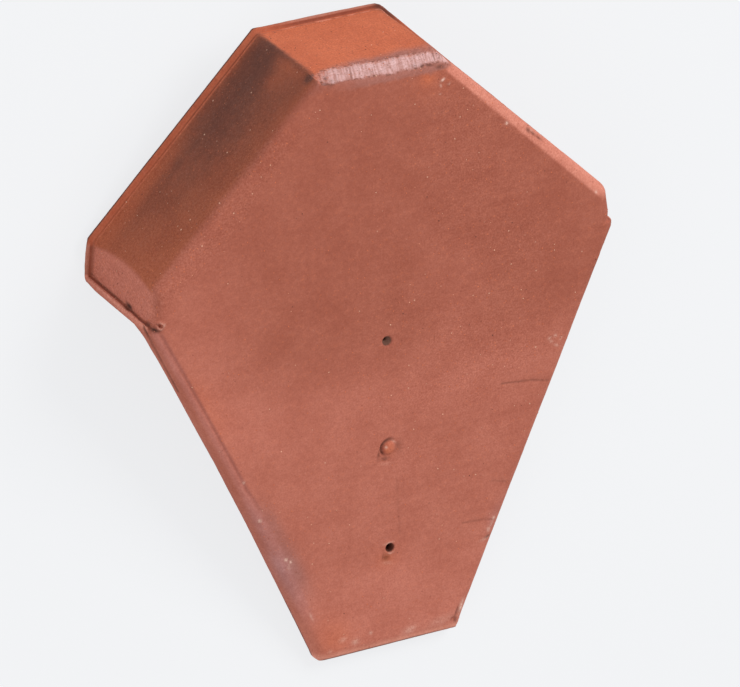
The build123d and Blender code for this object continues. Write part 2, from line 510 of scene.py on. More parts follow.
# Grooves as path, half width, depth, and how much dirt and painted shade darken them
GROOVES = [
    ([(-147, -124.9, -79.6), (-147.2, -126.2, -70), (-147.2, -126.3, -46)], 0.6, 0.3, 0.45),
    ([(-146.6, -126.4, -46), (-147, -126.6, -33), (-147.5, -126.8, -24), (-148.4, -126.8, -15),
      (-148.2, -127, -8.5), (-148.2, -127.3, -2.7), (-146.2, -128.2, -0.6), (-144.6, -128.5, 0)],
     0.5, 0.65, 0.5),
    ([(-149.6, -128, -7), (-149, -130.6, -4.6), (-147.6, -135.2, -4), (-145.6, -139.8, -4.4),
      (-142.4, -146.4, -4.8), (-139.2, -153.5, -5.4), (-130.5, -172, -5.6)], 0.9, 0.9, 0.75),
    ([(-143.6, -130.8, 0), (-133.6, -152.6, 0), (-125.3, -168.8, 0), (-103.2, -217, 0),
      (-93.6, -238, 0)], 1, 0.16, 0),
    ([(74, -212.5, 0), (93, -214.6, 0), (108, -218.2, 0)], 0.6, 0.2, 0.4),
    ([(48, -296, 0), (59, -296.8, 0), (68, -298.4, 0)], 0.6, 0.2, 0.35),
    ([(5, -256, 0), (5.6, -275, 0), (6.6, -294, 0)], 0.7, 0.08, 0.12),
    ([(66, -273, 0), (80, -277, 0)], 0.6, 0.12, 0.25),
]
for path, half_width, how_deep, _ in GROOVES:
    depth += how_deep * np.exp(-(from_path(places, path) / half_width) ** 2)

# A small rounded ridge follows the foot of the lip round the top and shoulders
SHOULDER_ACROSS, SHOULDER_UP = 0.7056, 0.7086
LIP_RIDGE = -78.3
upright = np.hypot(facing[:, 0], facing[:, 1])
outside = (np.abs(x) * SHOULDER_ACROSS + y * SHOULDER_UP > 22) | (y > -6)
ridge = np.exp(-((z - LIP_RIDGE) / 0.75) ** 2) * (y > -104)
depth -= 0.45 * ridge * rise(upright, 0.5, 0.8) * outside
places -= depth[:, None] * facing

# Dried mud lines the upper hole, so that less than half its width stays open,
# on its upper left
MUD_CLOSING = 0.56
MUD_SHIFT = (0.85, -0.85)
from_axis = places[:, :2] - UPPER_HOLE
down_bore = -places[:, 2]
in_bore = (np.hypot(*from_axis.T) < 3.3) * rise(down_bore, 0.4, 2.6) * fall(down_bore, 7, 10)
places[:, :2] -= in_bore[:, None] * (MUD_CLOSING * from_axis + MUD_SHIFT)

# The plug sat a little low in its hole when the clay was wet
PLUG_SHIFT = (0, -1.3)
places[:, :2] += near(places, (0.3, -235.2, 0), (9, 9, 9))[:, None] * PLUG_SHIFT

# %% [markdown]
# Clay shrinks unevenly as it dries, so no real tile keeps the straight lines of
# its mould. Here each stretch of the outline moves in or out by up to two
# millimetres, read from short tables, and fading into the face.

# %% Let the outline warp
TAIL_TOP, TAIL_FOOT = -130.6, -PLATE_LENGTH
LEFT_STATIONS = (0, 0.05, 0.1, 0.18, 0.41, 0.59, 0.77, 0.955, 1)
LEFT_MOVES = (-0.4, -0.1, 0.37, 0.78, 1.7, 1.3, 0.5, -0.6, -0.9)
RIGHT_STATIONS = (0, 0.04, 0.1, 0.19, 0.44, 0.71, 0.88, 1)
RIGHT_MOVES = (0.37, 0.47, 0.75, 0.9, 0.62, 0.4, 0.1, 0)
WARP_REACH = 22
LEFT_SHOULDER = np.array([-SHOULDER_ACROSS, SHOULDER_UP, 0])
RIGHT_SHOULDER = np.array([SHOULDER_ACROSS, SHOULDER_UP, 0])
SHOULDER_OFFSET = 27.45
TAIL_HALF_WIDTH, TAIL_TAPER, TAIL_COSINE = 150, 105, 0.9127
CHEEK_STATIONS = (104, 108, 114, 118, 121, 124, 128, 131)
CHEEK_MOVES = (0, 0.5, 0.6, 0.75, 0.85, 0.55, 0.2, -0.3)

# Single places that moved, as middle, radii and move
PUSHES = [
    ((-150, -130.6, -82), (2, 2, 9), (0.7, 0.7, 0)),
    ((-44, -363.2, -8), (2.8, 3.2, 14), (-0.945, -0.3675, 0)),
    ((-40, -365.4, -5), (3, 2, 7), (0, 0.45, 0)),
]


def down_tail(y):
    """0 where the tail begins, and 1 at its foot."""
    return np.clip((TAIL_TOP - y) / (TAIL_TOP - TAIL_FOOT), 0, 1)


def tail_inset(x, y, side):
    """How far a place lies inside the tail's side, which is -1 or 1 for left or right."""
    return TAIL_COSINE * (TAIL_HALF_WIDTH - TAIL_TAPER * down_tail(y) - side * x)


def side_moves(y):
    """How far the tail's left and right sides have moved in at a height."""
    share = down_tail(y)
    return np.interp(share, LEFT_STATIONS, LEFT_MOVES), np.interp(share, RIGHT_STATIONS, RIGHT_MOVES)


def push(amounts, direction):
    """Move each place in one direction, by its own amount."""
    moves[:] += amounts[:, None] * direction


x, y, z = places.T
moves = np.zeros_like(places)
below_cheeks = rise(-y, 118, 131)
for side, move in zip((-1, 1), side_moves(y)):
    fade = np.exp(-np.maximum(tail_inset(x, y, side), 0) / WARP_REACH)
    push(-side * move * fade * below_cheeks, (1, 0, 0))

on_roll = rise(z, -22, -12) * rise(facing @ RIGHT_SHOULDER, 0.2, 0.6) * (y > -125)
roll_moves = np.interp(x, (38, 60, 100, 125, 150), (-0.8, -0.3, 0.1, 0.4, 0.3))
push(roll_moves * on_roll, RIGHT_SHOULDER)
push(np.interp(-y, CHEEK_STATIONS, CHEEK_MOVES) * (x > 141) * rise(z, -22, -12), (1, 0, 0))
on_lip = rise(-z, 79, 80.5)
push(0.35 * on_lip * (x < -36) * fall(-y, 103, 111), LEFT_SHOULDER)
push(-0.3 * on_lip * rise(x, 34, 40) * fall(x, 85, 115), RIGHT_SHOULDER)
push(-0.25 * on_lip * (y > 0) * rise(x, 5, 32), (0, 1, 0))
push(-0.8 * on_lip * rise(-x, 142, 146) * rise(-y, 103, 113) * fall(-y, 119, 129), (1, 0, 0))
push(-0.45 * rise(-facing[:, 1], 0.3, 0.8) * rise(-z, 10, 14) * (np.abs(x) > 130), (0, 1, 0))
foot_roll = rise(facing @ (0, -0.88, 0.47), 0.75, 0.95) * rise(-y, 354, 358)
push(0.6 * foot_roll, facing)
for middle, radii, move in PUSHES:
    push(near(places, middle, radii), move)
right_corner = near(places, (45.4, -362, -3), (2.2, 6, 9)) * rise(z, -11.5, -9)
push(right_corner, (0.54, -0.06, 0))
places += moves
write(clay, places)
furthest = float(np.abs(moves).max())
print("deepest mark", round(float(depth.max()), 2), "and furthest move", round(furthest, 2))

# %% [markdown]
# ## A lighter net
#
# A collapse thins the dense net where the clay is smooth and keeps points where
# it bends. Points at the small marks are spared, and so are those where only the
# colour changes: pale scuffs, grains of lime, and painted highlights on the plug
# and on the raised rim of the lower hole, listed as place, radii, turn and strength.
# The tile then goes back from plan places to the frame, and is held inside the
# solid model's box.

# %% List the pale marks and the painted highlights
# Some of these are painted highlights: on the plug, and on the raised rim of the lower hole above and
# below it
PALE_AND_HIGHLIGHT_MARKS = [
    ((-31.5, -352.1, 0), (2.5, 1.4, 3), 15, 0.3), ((-23.1, -355.5, 0), (2.6, 2, 3), 15, 0.4),
    ((-13.2, -352.2, 0), (0.9, 0.9, 3), 0, 0.9), ((12.3, -356.7, 0), (4.5, 2.2, 3), 12, 0.35),
    ((33, -355.8, 0), (7, 2.6, 3), 10, 0.3), ((-40, -357.7, 0), (1.5, 1.2, 3), 0, 0.35),
    ((46.2, -350.2, -1.4), (1.2, 4.4, 4), -18, 1), ((-83.4, -262.7, 0), (0.9, 0.9, 3), 0, 1.8),
    ((105.7, -190.7, 0), (1.2, 1, 3), 30, 0.4), ((109.6, -190, 0), (0.9, 1, 3), 0, 0.5),
    ((113.2, -192, 0), (0.8, 1.6, 3), -24, 0.35), ((110, -195.9, 0), (1.6, 0.8, 3), -30, 0.45),
    ((106.9, -193.2, 0), (1.2, 0.8, 3), -20, 0.4), ((68.4, -297.6, -0.5), (1, 1, 3), 0, 0.9),
    ((66.8, -300.9, -0.5), (0.9, 1.8, 3), -24, 0.5), ((64.8, -304.1, -0.5), (1.1, 1.6, 3), 0, 0.5),
    ((63, -309.6, -0.6), (3.2, 0.8, 3), 10, 0.5), ((-67.2, -291.4, 0), (0.8, 0.8, 3), 0, 1.8),
    ((-64.3, -293.5, 0), (0.8, 0.8, 3), 0, 1.7), ((-1.9, -234.9, 1.2), (0.75, 0.75, 2), 0, 1),
    ((3.4, -232.4, 0.6), (2, 0.6, 2), -42, 0.4), ((-0.7, -297, 0), (2.8, 0.6, 2), 6, 0.8),
    ((0.4, -303.5, 0), (2, 0.5, 2), 4, 0.7), ((-2, -309.4, 0), (3.2, 1.2, 2), -10, 0.25),
    ((-2, -245.6, 0), (3.6, 1, 2), -10, 0.2), ((-140, -126, 0), (0.5, 1, 2), 0, 0.4),
    ((37.5, -14.5, 0), (1.3, 0.7, 2), 30, 1.2), ((36.2, -18, 0), (0.7, 1, 2), 20, 0.7),
    ((41.5, -17.6, 0), (1, 0.6, 2), 40, 0.6), ((35.9, -23, 0), (0.8, 0.5, 2), 0, 0.5),
    ((78.5, -49.7, 0), (0.9, 0.9, 3), 0, 1), ((136.7, -105.3, 0), (0.8, 0.8, 3), 0, 0.9),
    ((95.8, -59.2, -1), (2.2, 0.6, 3), -43, 0.5), ((-65.5, -296.4, 0), (1, 1.8, 3), 0, 0.4),
    ((-93, -235.9, 0), (0.8, 0.8, 3), 0, 0.9), ((-51.7, -332, 0), (0.7, 2.8, 3), 20, 0.35),
]
print(len(PALE_AND_HIGHLIGHT_MARKS), "pale marks")

# %% Thin the net and set the tile down
MOST_TRIANGLES = 194000
BOX_MARGIN = 1e-5


def held_to_box(points):
    """Points of the frame, held just inside the solid model's box."""
    return np.clip(points, np.array(cad_size[0]) + BOX_MARGIN, np.array(cad_size[1]) - BOX_MARGIN)


spared = np.zeros(len(places), bool)
for centre, radii, *_ in DENTS + PALE_AND_HIGHLIGHT_MARKS:
    spared |= near(places, centre, np.array(radii) + 0.8) > 0.3
for path, *_ in GROOVES[:3]:
    spared |= from_path(places, path) < 1.6
for middle_x, middle_y in (UPPER_HOLE, PLUG, LOWER_HOLE, BEAD):
    spared |= (np.hypot(places[:, 0] - middle_x, places[:, 1] - middle_y) < 7.5) & (places[:, 2] > -4)
triangles = sum(len(face.vertices) - 2 for face in clay.polygons)
clay = changed(clay, "DECIMATE", ~spared, ratio=MOST_TRIANGLES / triangles)
places, facing = read(clay)
write(clay, held_to_box(to_frame(places)))
clay.polygons.foreach_set("use_smooth", np.ones(len(clay.polygons), bool))
clay.name = "clay_tile"
tile = new_object("clay_tile", clay)
print("clay tile:", sum(len(face.vertices) - 2 for face in clay.polygons), "triangles")

# %% [markdown]
# ## Where the kiln and the weather have been
#
# Broad stains follow the shape of the tile, so they are measured on it and kept
# on its points as shares from 0 to 1, broken up by lumps of noise. Some of these
# shares are painted light and shade: highlights along edges, and shade along
# edges and in hollows. The material reads them and adds the fine grain. Distances
# from an edge are kept too, in millimetres, because the material draws a thin line
# sharper from a distance.

# %% Keep distances and the colours of the face
x, y, z = places.T
broad = lumps(places, 46, 21) * 0.5 + lumps(places, 19, 22) * 0.35 + lumps(places, 8, 23) * 0.25
ragged = lumps(places, 5, 24) * 0.5 + lumps(places, 2.4, 25) * 0.5


def keep(name, values):
    """Keep a named value on each point of the tile."""
    layer = clay.attributes.new(name, "FLOAT", "POINT")
    layer.data.foreach_set("value", np.asarray(values).astype(np.float32))


def stain(name, amount):
    """Keep a share from 0 to 1 on each point of the tile."""
    keep(name, np.clip(amount, 0, 1))


def spots(*marks):
    """Soft round stains added up, each as share, place, radii and turn."""
    return sum(share * near(places, *where) for share, *where in marks)


CHEEK_SIDE, CHEEK_SLANT, SHOULDER_DROP = 144.75, 0.0965, 105.4
FAR_INSIDE = 30

left_inset = SHOULDER_OFFSET - places @ LEFT_SHOULDER
right_inset = SHOULDER_OFFSET - places @ RIGHT_SHOULDER
cheek_outset = np.abs(x) - CHEEK_SIDE - CHEEK_SLANT * (-SHOULDER_DROP - y)
proud = np.maximum.reduce([-left_inset, -right_inset, y, cheek_outset])
keep("proud", np.where(y < -131.2, -9, proud))

left_move, right_move = side_moves(y)
left_side = np.where(y < -124, tail_inset(x, y, -1) - left_move, FAR_INSIDE)
keep("right_side", np.where(y < -120, tail_inset(x, y, 1) - right_move, FAR_INSIDE))

bloom = 0.62 * rise(-y, 150, 215) + 0.42 * rise(-y, 280, 345)
bloom += spots(
    (0.65, (-122, -150, 0), (34, 58, 30)), (0.2, (-85, -205, 0), (30, 26, 12)),
    (0.25, (42, -150, 0), (22, 34, 12)),
)
stain("bloom", bloom * (1 + 0.25 * broad))

flange = rise(facing[:, 1], 0.55, 0.9) * rise(y, -3.5, -1.5) * rise(-z, 1, 3) * fall(proud, 0.2, 0.5)
flange *= rise(left_inset, 0.5, 2.5 + 0.8 * ragged)
right_flank = rise(facing @ RIGHT_SHOULDER, 0.6, 0.95) * rise(-z, 3.5, 10)
stain("flange", flange + 0.6 * right_flank * fall(x, 36, 90))
ember = spots(
    (0.3, (-2.5, -307, 0), (7, 6, 6)), (0.5, (28, -11.5, 0), (4.5, 3.5, 9)),
    (0.15, (31, -16, 0), (14, 9, 9)), (0.5, (-2.4, -306, 0), (2.4, 2.4, 4)),
    (0.3, (-36, -350, 0), (12, 12, 9)), (0.25, (-118, -186, 0), (10, 26, 9), 26),
    (0.65, (-0.2, -236.4, 0.4), (4.2, 4.2, 1.6)), (0.12, (-42, -344, -2), (8, 16, 9), 24),
)
stain("ember", ember * (1 + 0.25 * broad))
print("face colours are kept")

# %% [markdown]
# The left shoulder is the smoky side. Soot is thickest in a long cloud under
# the corner of the flange, and thins out down the shoulder and towards the
# face. The cheek below was masked by its neighbour in the kiln and stayed pink.

# %% Keep the soot and the pink cheek
cheek_edge = -104 - 4 * np.abs((z + 42) / 37) ** 2.4
cheek = fall(y, cheek_edge - 1.5, cheek_edge + 1.5) * (x < -137) * (y > -131) * rise(-z, 1, 5)
flank = rise(facing @ LEFT_SHOULDER, 0.5, 0.95) * (x < -36.5) * (1 - cheek) * (left_inset < 8)
stain("flank", flank * rise(-z, 3.5, 9) + 0.7 * right_flank)
stain("cheek", cheek)

# How sooty the shoulder is by depth below the face, and by the way down from its top
SOOT_DEPTHS = (-4, 4, 12, 26, 40, 58, 70, 80)
SOOT_BY_DEPTH = (0.1, 0.34, 0.52, 0.66, 0.82, 0.95, 0.8, 0.45)
SOOT_WAYS = (0, 20, 60, 100, 125, 140, 150)
SOOT_BY_WAY = (0.94, 0.96, 0.84, 0.62, 0.46, 0.34, 0.26)
down_shoulder = -SHOULDER_UP * (x + 38.9) - SHOULDER_ACROSS * y
soot = np.interp(-z + 5 * broad, SOOT_DEPTHS, SOOT_BY_DEPTH)
soot *= np.interp(down_shoulder + 8 * broad, SOOT_WAYS, SOOT_BY_WAY)
soot += spots(
    (0.12, (-43, -6, -66), (9, 9, 12)), (-0.25, (-42, -3, -34), (4, 4, 18)),
    (0.4, (-41.6, -2.2, -12.5), (3.4, 3.4, 3.6)), (-0.3, (-48.8, -9.9, -38), (11, 11, 9)),
)
soot *= 1 - 0.5 * rise(-z, 62, 74) * rise(down_shoulder, 55, 100)
soot *= (1 + 0.12 * broad + 0.12 * ragged) * flank
soot += spots((0.5, (-40.2, -0.9, -12), (2.4, 2.4, 3)), (0.3, (-144.6, -113, -2), (3.4, 7, 4)))
stain("soot", soot)

# %% [markdown]
# Wear shows as paler clay on the rubbed top edge. Highlights are painted on the
# rim of the right shoulder and on the right edge of the tail, lighter colour is
# painted over the shade on the tail's left side, and the band along that edge is
# paler. Dirt and painted shade gather in what is sunk.

# %% Keep the wear, the dirt, and the painted light and shade
BORDER_STATIONS = (-36, -25, -17, -5, 8, 23, 37)
TOP_BORDER = (-15.6, -16.8, -16, -14.6, -13.5, -13, -12.2)
LOW_BORDER = (1.2, 0.4, 0.8, 1.7, 2.3, 1.9, 1.4)
top_border = np.interp(x, BORDER_STATIONS, TOP_BORDER) + 0.5 * np.sin(x / 4.1)
low_border = np.interp(x, BORDER_STATIONS, LOW_BORDER) + 0.3 * np.sin(x / 2.7)
in_strip = rise(y, -9, -7.5) * rise(z, -24, -22) * fall(proud, 0.3, 0.8)
over_edge = z - 0.6 * y
worn = rise(z + 1.2 * ragged, top_border - 1.6, top_border + 4.4)
worn *= 1 - rise(over_edge + ragged, low_border - 3.6, low_border + 1.2)
worn *= rise(x + 1.5 * ragged, -44, -26) * fall(x + ragged, 40, 46) * in_strip
stain("worn", worn)
fringe = rise(z, top_border - 8 - 0.12 * x, top_border) * (1 - worn) * rise(x, -36, -5)
fringe = fringe * (1.1 + 0.6 * ragged) + 0.25 * fall(over_edge, low_border, low_border + 3.5) * (z > -4)
stain("fringe", fringe * in_strip)

# Painted highlight: a pale band along the rounded rim of the right shoulder, where light falls on it
stain("rim_highlight", fall(right_inset - 0.006 * (x - 40), 4.9, 6.9) * rise(x, 37, 43)
      * fall(-y, 106, 113) * fall(-z, 9, 13) * (1 + 0.1 * broad))

band_edge = np.interp(-y, (130, 240, 270, 330), (5.9, 5.9, 9.2, 9.2))
tail_band = fall(left_side, band_edge - 0.7, band_edge + 0.7) * rise(-y, 126, 132)
stain("tail_band", tail_band * fall(-y, 318, 345) * rise(left_side, 0.6, 3.6))
# Painted light: the left side of the tail is made lighter where shade falls on it
stain("tail_side_painted_light", fall(left_side, 0.6, 3.6) * rise(-y, 126, 132) * (1 - 0.6 * rise(-y, 325, 345)))
keep("from_band", np.where(y < -128, left_side - band_edge - 1.1, FAR_INSIDE))
dusk = spots((0.6, (-63, -296, 0), (5.5, 22, 8), 24), (0.3, (-76, -264, 0), (4, 14, 8), 24))
stain("dusk", dusk * (1 + 0.5 * broad))
grey = spots(
    (0.9, (-69, -299, 0), (5, 20, 8), 24), (0.5, (-84, -262, 0), (4, 16, 8), 24),
    (0.45, (68.5, -297, 0), (3.4, 9, 4), -24),
)
stain("grey", grey * (1 + 0.5 * broad))

# Darker colour lies in the grooves, the deeper dents, the holes, the slot by the plug,
# and more spots, as share, place, radii and turn. It is partly dirt, and partly
# painted shade where shade falls: in the grooves and dents, in the slot by the plug
# and along the back of the right lip.
DIRT_AND_SHADE_SPOTS = [
    (0.5, (-2.4, -241.8, 0), (2.6, 1.8, 2)), (0.4, (-2.4, -306.4, 0), (2.2, 1.8, 2)),
    (0.7, (42.4, -357.8, -0.3), (1.5, 1.7, 3)), (0.5, (-4.6, -305.2, 0), (0.7, 2.4, 2), -10),
    (0.75, (39.5, 1, -81), (3.4, 3, 5)), (0.8, (45, -4.2, -81.5), (10, 2.6, 2.2), -45),
    (1, (-146.3, -128.1, -0.6), (3.2, 1.4, 2.8), -25), (1, (-146.8, -125.6, -31.5), (2.1, 1.9, 4)),
    (0.3, (6, -236, 0), (3, 4, 2)),
]
MOUTHS = ((UPPER_HOLE, 2.9), (LOWER_HOLE, 2.8))


def from_middle(middle):
    """How far each place is from an upright line through a point of the plan."""
    return np.hypot(x - middle[0], y - middle[1])


# Painted shade: a dark crescent in the slot on the upper left of the plug
dirt_and_shade_parts = [0.8 * beside_plug(x, y + 1.1) * (facing[:, 2] > -0.3) * (z > -3)]
dirt_and_shade_parts.append(0.45 * near(places, (-32, -3.6, -3), (4, 3, 3)) * rise(ragged, -0.1, 0.3))
dirt_and_shade_parts += [fall(from_middle(hole), mouth - 0.4, mouth + 0.3) for hole, mouth in MOUTHS]
dirt_and_shade_parts += [spots(spot) for spot in DIRT_AND_SHADE_SPOTS]
dirt_and_shade_parts += [spots((0.7, *where)) for *where, how_deep in DENTS if how_deep > 0.45]
dirt_and_shade_parts += [share * np.exp(-(from_path(places, path) / (1.1 * half_width)) ** 2)
          for path, half_width, _, share in GROOVES if share]
stain("grime_and_shade", np.maximum.reduce(dirt_and_shade_parts) * (1 + 0.2 * ragged))
stain("hole_dirt", fall(from_middle(UPPER_HOLE), 3.6, 4.2))

# Pale dust and lime, and painted highlights on the plug and on the rim of the lower hole
dust_and_highlights = sum(amount * near(places, *where) for *where, amount in PALE_AND_HIGHLIGHT_MARKS)
dust_and_highlights += 0.4 * np.exp(-((from_middle(BEAD) - 1.7) / 0.5) ** 2) * (z > -3)
stain("dust_and_highlights", dust_and_highlights * (1 + 0.5 * ragged))

# Painted shadow as thin dark outlines: the back of the left lip, and the lower edges of the tail
lip_back = rise(-z, 81.2, 82) * (x < -38) * (0.35 + 0.65 * fall(-y, 103, 107)) * (left_inset < 0)
foot_line = rise(-y, 361.8, 363.2) * rise(x, -46, -42) * (1 - 0.6 * rise(x, 20, 40)) * 0.8
side_line = 0.8 * (left_side < 1) * rise(-y, 310, 335) * rise(-z, 8.6, 10.2) * (z > -12)
stain("edge_shadow", np.maximum.reduce([lip_back, foot_line, side_line]))

from_border = np.abs(left_inset - 7) / 7
grit = 0.9 * np.exp(-from_border ** 2) * (x < -40) * rise(-y, 10, 30)
grit += 0.7 * near(places, (70, -70, 0), (55, 60, 20))
grit += 0.5 * near(places, (60, -200, 0), (60, 70, 20)) + 0.5 * flange + 0.35 * flank
stain("grit", (0.22 + grit) * (1 + 0.6 * broad) * (z > -79))
print("stains:", [layer.name for layer in clay.attributes if layer.data_type == "FLOAT"])

# %% [markdown]
# ## Fired clay
#
# The colour of terracotta is iron in the clay. It varies with the heat of the
# kiln over tens of millimetres, and with the mix over one or two. Two shared
# node groups hold what the tile and its grains have in common: the mottling of
# the fired skin, and the specks of ground brick in it.

# %% Build the shared groups
def new_group(name, sizes, results):
    """A shader node group with a place and sizes going in, its start and its end."""
    group = bpy.data.node_groups.new(name, "ShaderNodeTree")
    new_socket = group.interface.new_socket
    new_socket("Place", in_out="INPUT", socket_type="NodeSocketVector")
    for label, value in sizes.items():
        new_socket(label, in_out="INPUT", socket_type="NodeSocketFloat").default_value = value
    for label in results:
        new_socket(label, in_out="OUTPUT", socket_type="NodeSocketFloat")
    return group, group.nodes.new("NodeGroupInput").outputs, group.nodes.new("NodeGroupOutput").inputs


mottle_group, given, result = new_group(
    "fired skin", {"Fine size": 1.1, "Cloud size": 24}, ("Fine", "Middle", "Cloud", "Height")
)
tree = mottle_group
fine_scale, cloud_scale = (maths("DIVIDE", 1, given[name]) for name in ("Fine size", "Cloud size"))
fine = noise(given["Place"], fine_scale, 3, 0.7)
middle = noise(given["Place"], times(fine_scale, 0.32), 3, 0.6)
cloud = noise(given["Place"], cloud_scale, 3, 0.55)
height = maths("ADD", fine, times(middle, 2.4))
for name, value in (("Fine", fine), ("Middle", middle), ("Cloud", cloud), ("Height", height)):
    fill(result[name], value)

speck_group, given, result = new_group(
    "brick specks", {"Spacing": 3, "Share": 0.3, "Radius": 0.3}, ("Mask",)
)
tree = speck_group
per_speck = maths("DIVIDE", 1, given["Spacing"])
cells = add("TexVoronoi", {"Vector": given["Place"], "Scale": per_speck}).outputs
chance = add("SeparateColor", {"Color": cells["Color"]}).outputs
reach = maths("DIVIDE", given["Radius"], given["Spacing"])
reach = times(reach, ramp(chance["Green"], 0, 1, 0.5, 1.3))
round_speck = ramp(maths("DIVIDE", cells["Distance"], reach), 0.6, 1, 1, 0)
chosen = maths("LESS_THAN", chance["Red"], given["Share"])
fill(result["Mask"], times(round_speck, chosen))
print("shared groups:", mottle_group.name, "and", speck_group.name)

# %% [markdown]
# ## The tile's own colours
#
# Each colour is named for where it is seen, and laid over the last by a kept
# stain, in the order in which the tile got them: the clay and the fire first,
# then the wear, then the dirt. Painted highlights and painted shade go in among
# them, on the lip, on the edges and in what is sunk. Thin lines are drawn from
# the kept distances.

# %% Choose the colours
def colour(red, green, blue):
    """A colour as a picture gives it, from 0 to 255, as the renderer needs it."""
    return (*(((value / 255 + 0.055) / 1.055) ** 2.4 for value in (red, green, blue)), 1)


BRICK_RED = colour(172, 96, 76)
SALT_BLOOM = colour(200, 118, 98)
EMBER_ORANGE = colour(210, 110, 72)
FLANGE_ORANGE = colour(211, 110, 74)
CHEEK_PINK = colour(193, 113, 93)
FLANK_BROWN = colour(170, 89, 60)
SOOT_PURPLE = colour(97, 57, 46)
RIM_HIGHLIGHT_ROSE = colour(214, 133, 112)
TAIL_ROSE = colour(196, 120, 105)
TAIL_SIDE_PAINTED_LIGHT = colour(184, 106, 86)
TAIL_CREASE_SHADE = colour(160, 92, 80)
DUSK = colour(159, 109, 102)
RIGHT_EDGE_HIGHLIGHT = colour(214, 146, 127)
FOOT_PALE = colour(224, 146, 124)
LIP_EDGE_HIGHLIGHT = colour(184, 115, 95)
LIP_DARK = colour(150, 77, 56)
LIP_RIDGE_HIGHLIGHT = colour(228, 140, 114)
SHOULDER_LIP = colour(180, 95, 67)
SHOULDER_RIDGE_HIGHLIGHT = colour(190, 104, 76)
CHEEK_END = colour(217, 137, 116)
CHEEK_ROOT_PAINTED_SHADE = colour(158, 88, 68)
FRINGE_MAUVE = colour(170, 106, 92)
WORN_PALE = colour(221, 174, 169)
WORN_MID = colour(201, 150, 142)
WORN_DARK = colour(130, 86, 74)
GREY_SKIN = colour(184, 126, 120)
GRIME_AND_SHADE_BROWN = colour(72, 42, 34)
HOLE_DIRT = colour(108, 73, 60)
DUST_AND_HIGHLIGHT_PALE = colour(232, 186, 168)
ORANGE_GROG = colour(222, 122, 78)
PALE_GROG = colour(236, 190, 162)
DARK_GROG = colour(92, 48, 38)


def plan_place():
    """Object coordinates turned into plan places, in millimetres."""
    turn = {"Location": tuple(-plan_origin), "Rotation": (-slope, 0, 0), "Scale": (1 / MM,) * 3}
    place = add("TexCoord").outputs["Object"]
    return add("Mapping", {"Vector": place, **turn}).outputs[0]


# %% Lay on the clay and the fire
terracotta, tree = new_material("terracotta")
place = plan_place()
plan_x, plan_y, plan_z = add("SeparateXYZ", {"Vector": place}).outputs
skin = add("Group", {"Place": place}, node_tree=mottle_group).outputs
fine, middle, cloud = skin["Fine"], skin["Middle"], skin["Cloud"]

smoky = maths("ADD", kept("soot"), ramp(middle, 0.3, 0.7, -0.08, 0.08))
shade = lay(
    BRICK_RED,
    (SALT_BLOOM, "bloom"),
    (CHEEK_PINK, "cheek"),
    (FLANGE_ORANGE, "flange"),
    (FLANK_BROWN, "flank"),
    (EMBER_ORANGE, "ember"),
    (SOOT_PURPLE, ramp(smoky, 0.04, 0.98, 0, 0.97)),
    (EMBER_ORANGE, ramp(middle, 0.5, 0.75), 0.12),
)

# %% Draw the lip
proud = kept("proud")
on_shoulder = times(ramp(plan_x, -36, -44), ramp(plan_y, -109, -105))
on_top = times(ramp(plan_x, -34, -10), ramp(plan_y, -12, -4))
low_end = ramp(plan_y, -124.8, -126.2)
outer_part = ramp(proud, 1.5, 2.3)
on_cheek = ramp(plan_y, -105, -109)
# Painted highlight: the outer part of the lip, which stands proud, is paler
lip_shade = lay(
    LIP_DARK,
    (LIP_EDGE_HIGHLIGHT, outer_part),
    (CHEEK_END, times(low_end, outer_part)),
    (SHOULDER_LIP, maths("SUBTRACT", 1, maths("MAXIMUM", on_top, on_cheek))),
)

by_lip = ramp(proud, -1, -0.3)
# Painted shade: darker colour on the cheek next to the roots of its lips
cheek_root = times(ramp(plan_z, -76.5, -80.5), on_cheek)
end_root = times(ramp(plan_y, -125.2, -126.2, 0, 0.35), ramp(plan_x, -138, -141), by_lip)
# Painted highlight: a lighter line on the small ridge at the foot of the lip, on the top and on the left
# shoulder
ridge = times(line(plan_z, LIP_RIDGE, 1.3), by_lip)
broken = ramp(noise(place, 1 / 5, detail=1), 0.42, 0.6)
back_of_rim = ramp(plan_z, -79.6, -80.4)
lip_here = maths("MAXIMUM", back_of_rim, ramp(plan_y, -125.8, -126.4))
shade = lay(
    shade,
    (CHEEK_ROOT_PAINTED_SHADE, maths("MAXIMUM", cheek_root, end_root)),
    (LIP_RIDGE_HIGHLIGHT, times(ridge, on_top, broken)),
    (SHOULDER_RIDGE_HIGHLIGHT, times(ridge, on_shoulder)),
    (lip_shade, times(ramp(proud, -0.1, 0.5), lip_here)),
)

# %% Lay on the wear, and the painted light and shade on the edges
# Painted shade: a thin darker line in the crease at the inner edge of the tail's band
band_crease_shade = times(line(kept("from_band"), 0, 2), ramp(plan_y, -128, -134), ramp(plan_y, -275, -235))
# Painted highlight on the rounded right edge of the tail
right_edge_highlight = times(ramp(kept("right_side"), 3.4, 0.6), ramp(plan_y, -122, -132))
foot_edge = ramp(plan_y, -357.5, -362)
shade = lay(
    shade,
    # painted highlight on the rim of the right shoulder
    (RIM_HIGHLIGHT_ROSE, "rim_highlight"),
    # painted shade in the crease of the tail's band
    (TAIL_CREASE_SHADE, band_crease_shade, 0.8),
    (TAIL_ROSE, "tail_band", 0.9),
    # lighter colour painted over the shade on the tail's left side
    (TAIL_SIDE_PAINTED_LIGHT, "tail_side_painted_light", 0.9),
    (DUSK, "dusk"),
    (GREY_SKIN, "grey", 0.8),
    # painted highlight on the tail's right edge
    (RIGHT_EDGE_HIGHLIGHT, right_edge_highlight, 0.5),
    (FOOT_PALE, foot_edge, 0.9),
    (FRINGE_MAUVE, "fringe"),
)

